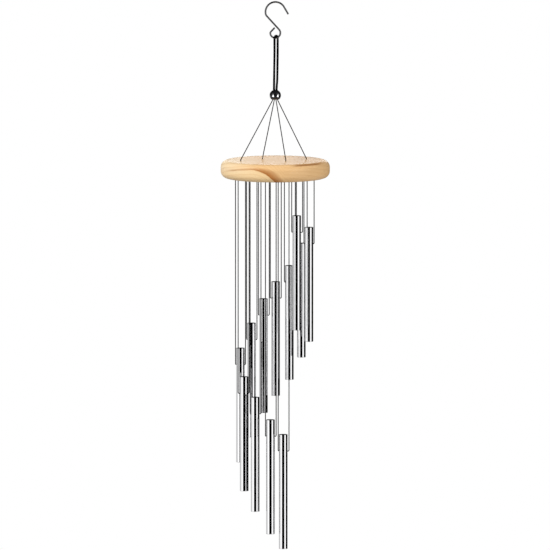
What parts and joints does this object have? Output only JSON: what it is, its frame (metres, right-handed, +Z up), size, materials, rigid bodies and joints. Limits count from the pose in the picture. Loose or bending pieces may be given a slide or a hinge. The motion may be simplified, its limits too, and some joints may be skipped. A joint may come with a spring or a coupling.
{
  "type": "wind chime",
  "caption": "Hanging wind chime: an S-hook and cord loop carry a round wooden disc on cords, with metal tubes stepping down in a spiral on strings below it.",
  "frame": {"origin": "inner top of the hook's crown, where the chime hangs", "axes": "+Z up, +X to the right seen from the front, +Y to the back"},
  "size_m": [0.12, 0.12, 0.601],
  "materials": {
    "hook_steel": "darkened round wire, half gloss",
    "loop_cord": "matt black braided cord",
    "bead": "high gloss black",
    "disc_wood": "honey pine under clear gloss lacquer",
    "suspension_cord": "matt dark grey cord",
    "string": "matt dark grey string",
    "tube_metal": "polished"
  },
  "bodies": {
    "hook": {"s_hook": "hook_steel"},
    "loop": {"hanging_loop": "loop_cord"},
    "bead": {"bead": "bead"},
    "disc": {"wooden_disc": "disc_wood", "suspension_cord_01": "suspension_cord", "suspension_cord_02": "suspension_cord", "suspension_cord_03": "suspension_cord", "suspension_cord_04": "suspension_cord"},
    "string_01": {"string_01": "string"},
    "tube_01": {"tube_01": "tube_metal"},
    "string_02": {"string_02": "string"},
    "tube_02": {"tube_02": "tube_metal"},
    "string_03": {"string_03": "string"},
    "tube_03": {"tube_03": "tube_metal"},
    "string_04": {"string_04": "string"},
    "tube_04": {"tube_04": "tube_metal"},
    "string_05": {"string_05": "string"},
    "tube_05": {"tube_05": "tube_metal"},
    "string_06": {"string_06": "string"},
    "tube_06": {"tube_06": "tube_metal"},
    "string_07": {"string_07": "string"},
    "tube_07": {"tube_07": "tube_metal"},
    "string_08": {"string_08": "string"},
    "tube_08": {"tube_08": "tube_metal"},
    "string_09": {"string_09": "string"},
    "tube_09": {"tube_09": "tube_metal"},
    "string_10": {"string_10": "string"},
    "tube_10": {"tube_10": "tube_metal"},
    "string_11": {"string_11": "string"},
    "tube_11": {"tube_11": "tube_metal"},
    "string_12": {"string_12": "string"},
    "tube_12": {"tube_12": "tube_metal"}
  },
  "joints": [
    {"name": "loop_swing", "type": "hinge", "parent": "hook", "child": "loop", "pos_m": [0, 0, -0.0331], "axis": [0, 1, 0], "range_deg": [-20, 20]},
    {"name": "bead_twist", "type": "hinge", "parent": "loop", "child": "bead", "pos_m": [0, 0, -0.1019], "axis": [0, 0, 1], "range_deg": [-90, 90]},
    {"name": "disc_tilt", "type": "hinge", "parent": "bead", "child": "disc", "pos_m": [0, 0, -0.1019], "axis": [1, 0, 0], "range_deg": [-8, 8]},
    {"name": "string_swing_01", "type": "hinge", "parent": "disc", "child": "string_01", "pos_m": [0.0235, -0.02948, -0.1922], "axis": [1, 0, 0], "range_deg": [-12, 12]},
    {"name": "tube_tilt_01", "type": "hinge", "parent": "string_01", "child": "tube_01", "pos_m": [0.0235, -0.02948, -0.2503], "axis": [1, 0, 0], "range_deg": [-15, 15]},
    {"name": "string_swing_02", "type": "hinge", "parent": "disc", "child": "string_02", "pos_m": [0.037, -0.00551, -0.1922], "axis": [1, 0, 0], "range_deg": [-12, 7]},
    {"name": "tube_tilt_02", "type": "hinge", "parent": "string_02", "child": "tube_02", "pos_m": [0.037, -0.00551, -0.2655], "axis": [1, 0, 0], "range_deg": [-12, 12]},
    {"name": "string_swing_03", "type": "hinge", "parent": "disc", "child": "string_03", "pos_m": [0.0287, 0.02427, -0.1922], "axis": [1, 0, 0], "range_deg": [-7, 12]},
    {"name": "tube_tilt_03", "type": "hinge", "parent": "string_03", "child": "tube_03", "pos_m": [0.0287, 0.02427, -0.2861], "axis": [1, 0, 0], "range_deg": [-15, 15]},
    {"name": "string_swing_04", "type": "hinge", "parent": "disc", "child": "string_04", "pos_m": [0.0155, 0.03455, -0.1922], "axis": [1, 0, 0], "range_deg": [-12, 12]},
    {"name": "tube_tilt_04", "type": "hinge", "parent": "string_04", "child": "tube_04", "pos_m": [0.0155, 0.03455, -0.312], "axis": [1, 0, 0], "range_deg": [-15, 15]},
    {"name": "string_swing_05", "type": "hinge", "parent": "disc", "child": "string_05", "pos_m": [0.00036, 0.03818, -0.1922], "axis": [1, 0, 0], "range_deg": [-12, 12]},
    {"name": "tube_tilt_05", "type": "hinge", "parent": "string_05", "child": "tube_05", "pos_m": [0.00036, 0.03818, -0.3302], "axis": [1, 0, 0], "range_deg": [-15, 15]},
    {"name": "string_swing_06", "type": "hinge", "parent": "disc", "child": "string_06", "pos_m": [-0.01306, 0.03618, -0.1922], "axis": [1, 0, 0], "range_deg": [-12, 12]},
    {"name": "tube_tilt_06", "type": "hinge", "parent": "string_06", "child": "tube_06", "pos_m": [-0.01306, 0.03618, -0.3489], "axis": [1, 0, 0], "range_deg": [-15, 15]},
    {"name": "string_swing_07", "type": "hinge", "parent": "disc", "child": "string_07", "pos_m": [-0.0261, 0.02862, -0.1922], "axis": [1, 0, 0], "range_deg": [-7.5, 12]},
    {"name": "tube_tilt_07", "type": "hinge", "parent": "string_07", "child": "tube_07", "pos_m": [-0.0261, 0.02862, -0.3751], "axis": [1, 0, 0], "range_deg": [-15, 15]},
    {"name": "string_swing_08", "type": "hinge", "parent": "disc", "child": "string_08", "pos_m": [-0.0383, 0.00728, -0.1922], "axis": [1, 0, 0], "range_deg": [-2.7, 12]},
    {"name": "tube_tilt_08", "type": "hinge", "parent": "string_08", "child": "tube_08", "pos_m": [-0.0383, 0.00728, -0.4005], "axis": [1, 0, 0], "range_deg": [-8, 8]},
    {"name": "string_swing_09", "type": "hinge", "parent": "disc", "child": "string_09", "pos_m": [-0.03418, -0.01858, -0.1922], "axis": [1, 0, 0], "range_deg": [-12, 2.7]},
    {"name": "tube_tilt_09", "type": "hinge", "parent": "string_09", "child": "tube_09", "pos_m": [-0.03418, -0.01858, -0.4294], "axis": [1, 0, 0], "range_deg": [-8, 8]},
    {"name": "string_swing_10", "type": "hinge", "parent": "disc", "child": "string_10", "pos_m": [-0.0221, -0.03171, -0.1922], "axis": [1, 0, 0], "range_deg": [-12, 9.5]},
    {"name": "tube_tilt_10", "type": "hinge", "parent": "string_10", "child": "tube_10", "pos_m": [-0.0221, -0.03171, -0.4506], "axis": [1, 0, 0], "range_deg": [-15, 15]},
    {"name": "string_swing_11", "type": "hinge", "parent": "disc", "child": "string_11", "pos_m": [-0.0053, -0.03793, -0.1922], "axis": [1, 0, 0], "range_deg": [-12, 12]},
    {"name": "tube_tilt_11", "type": "hinge", "parent": "string_11", "child": "tube_11", "pos_m": [-0.0053, -0.03793, -0.4748], "axis": [1, 0, 0], "range_deg": [-15, 15]},
    {"name": "string_swing_12", "type": "hinge", "parent": "disc", "child": "string_12", "pos_m": [0.0087, -0.037, -0.1922], "axis": [1, 0, 0], "range_deg": [-12, 12]},
    {"name": "tube_tilt_12", "type": "hinge", "parent": "string_12", "child": "tube_12", "pos_m": [0.0087, -0.037, -0.4912], "axis": [1, 0, 0], "range_deg": [-15, 15]}
  ]
}
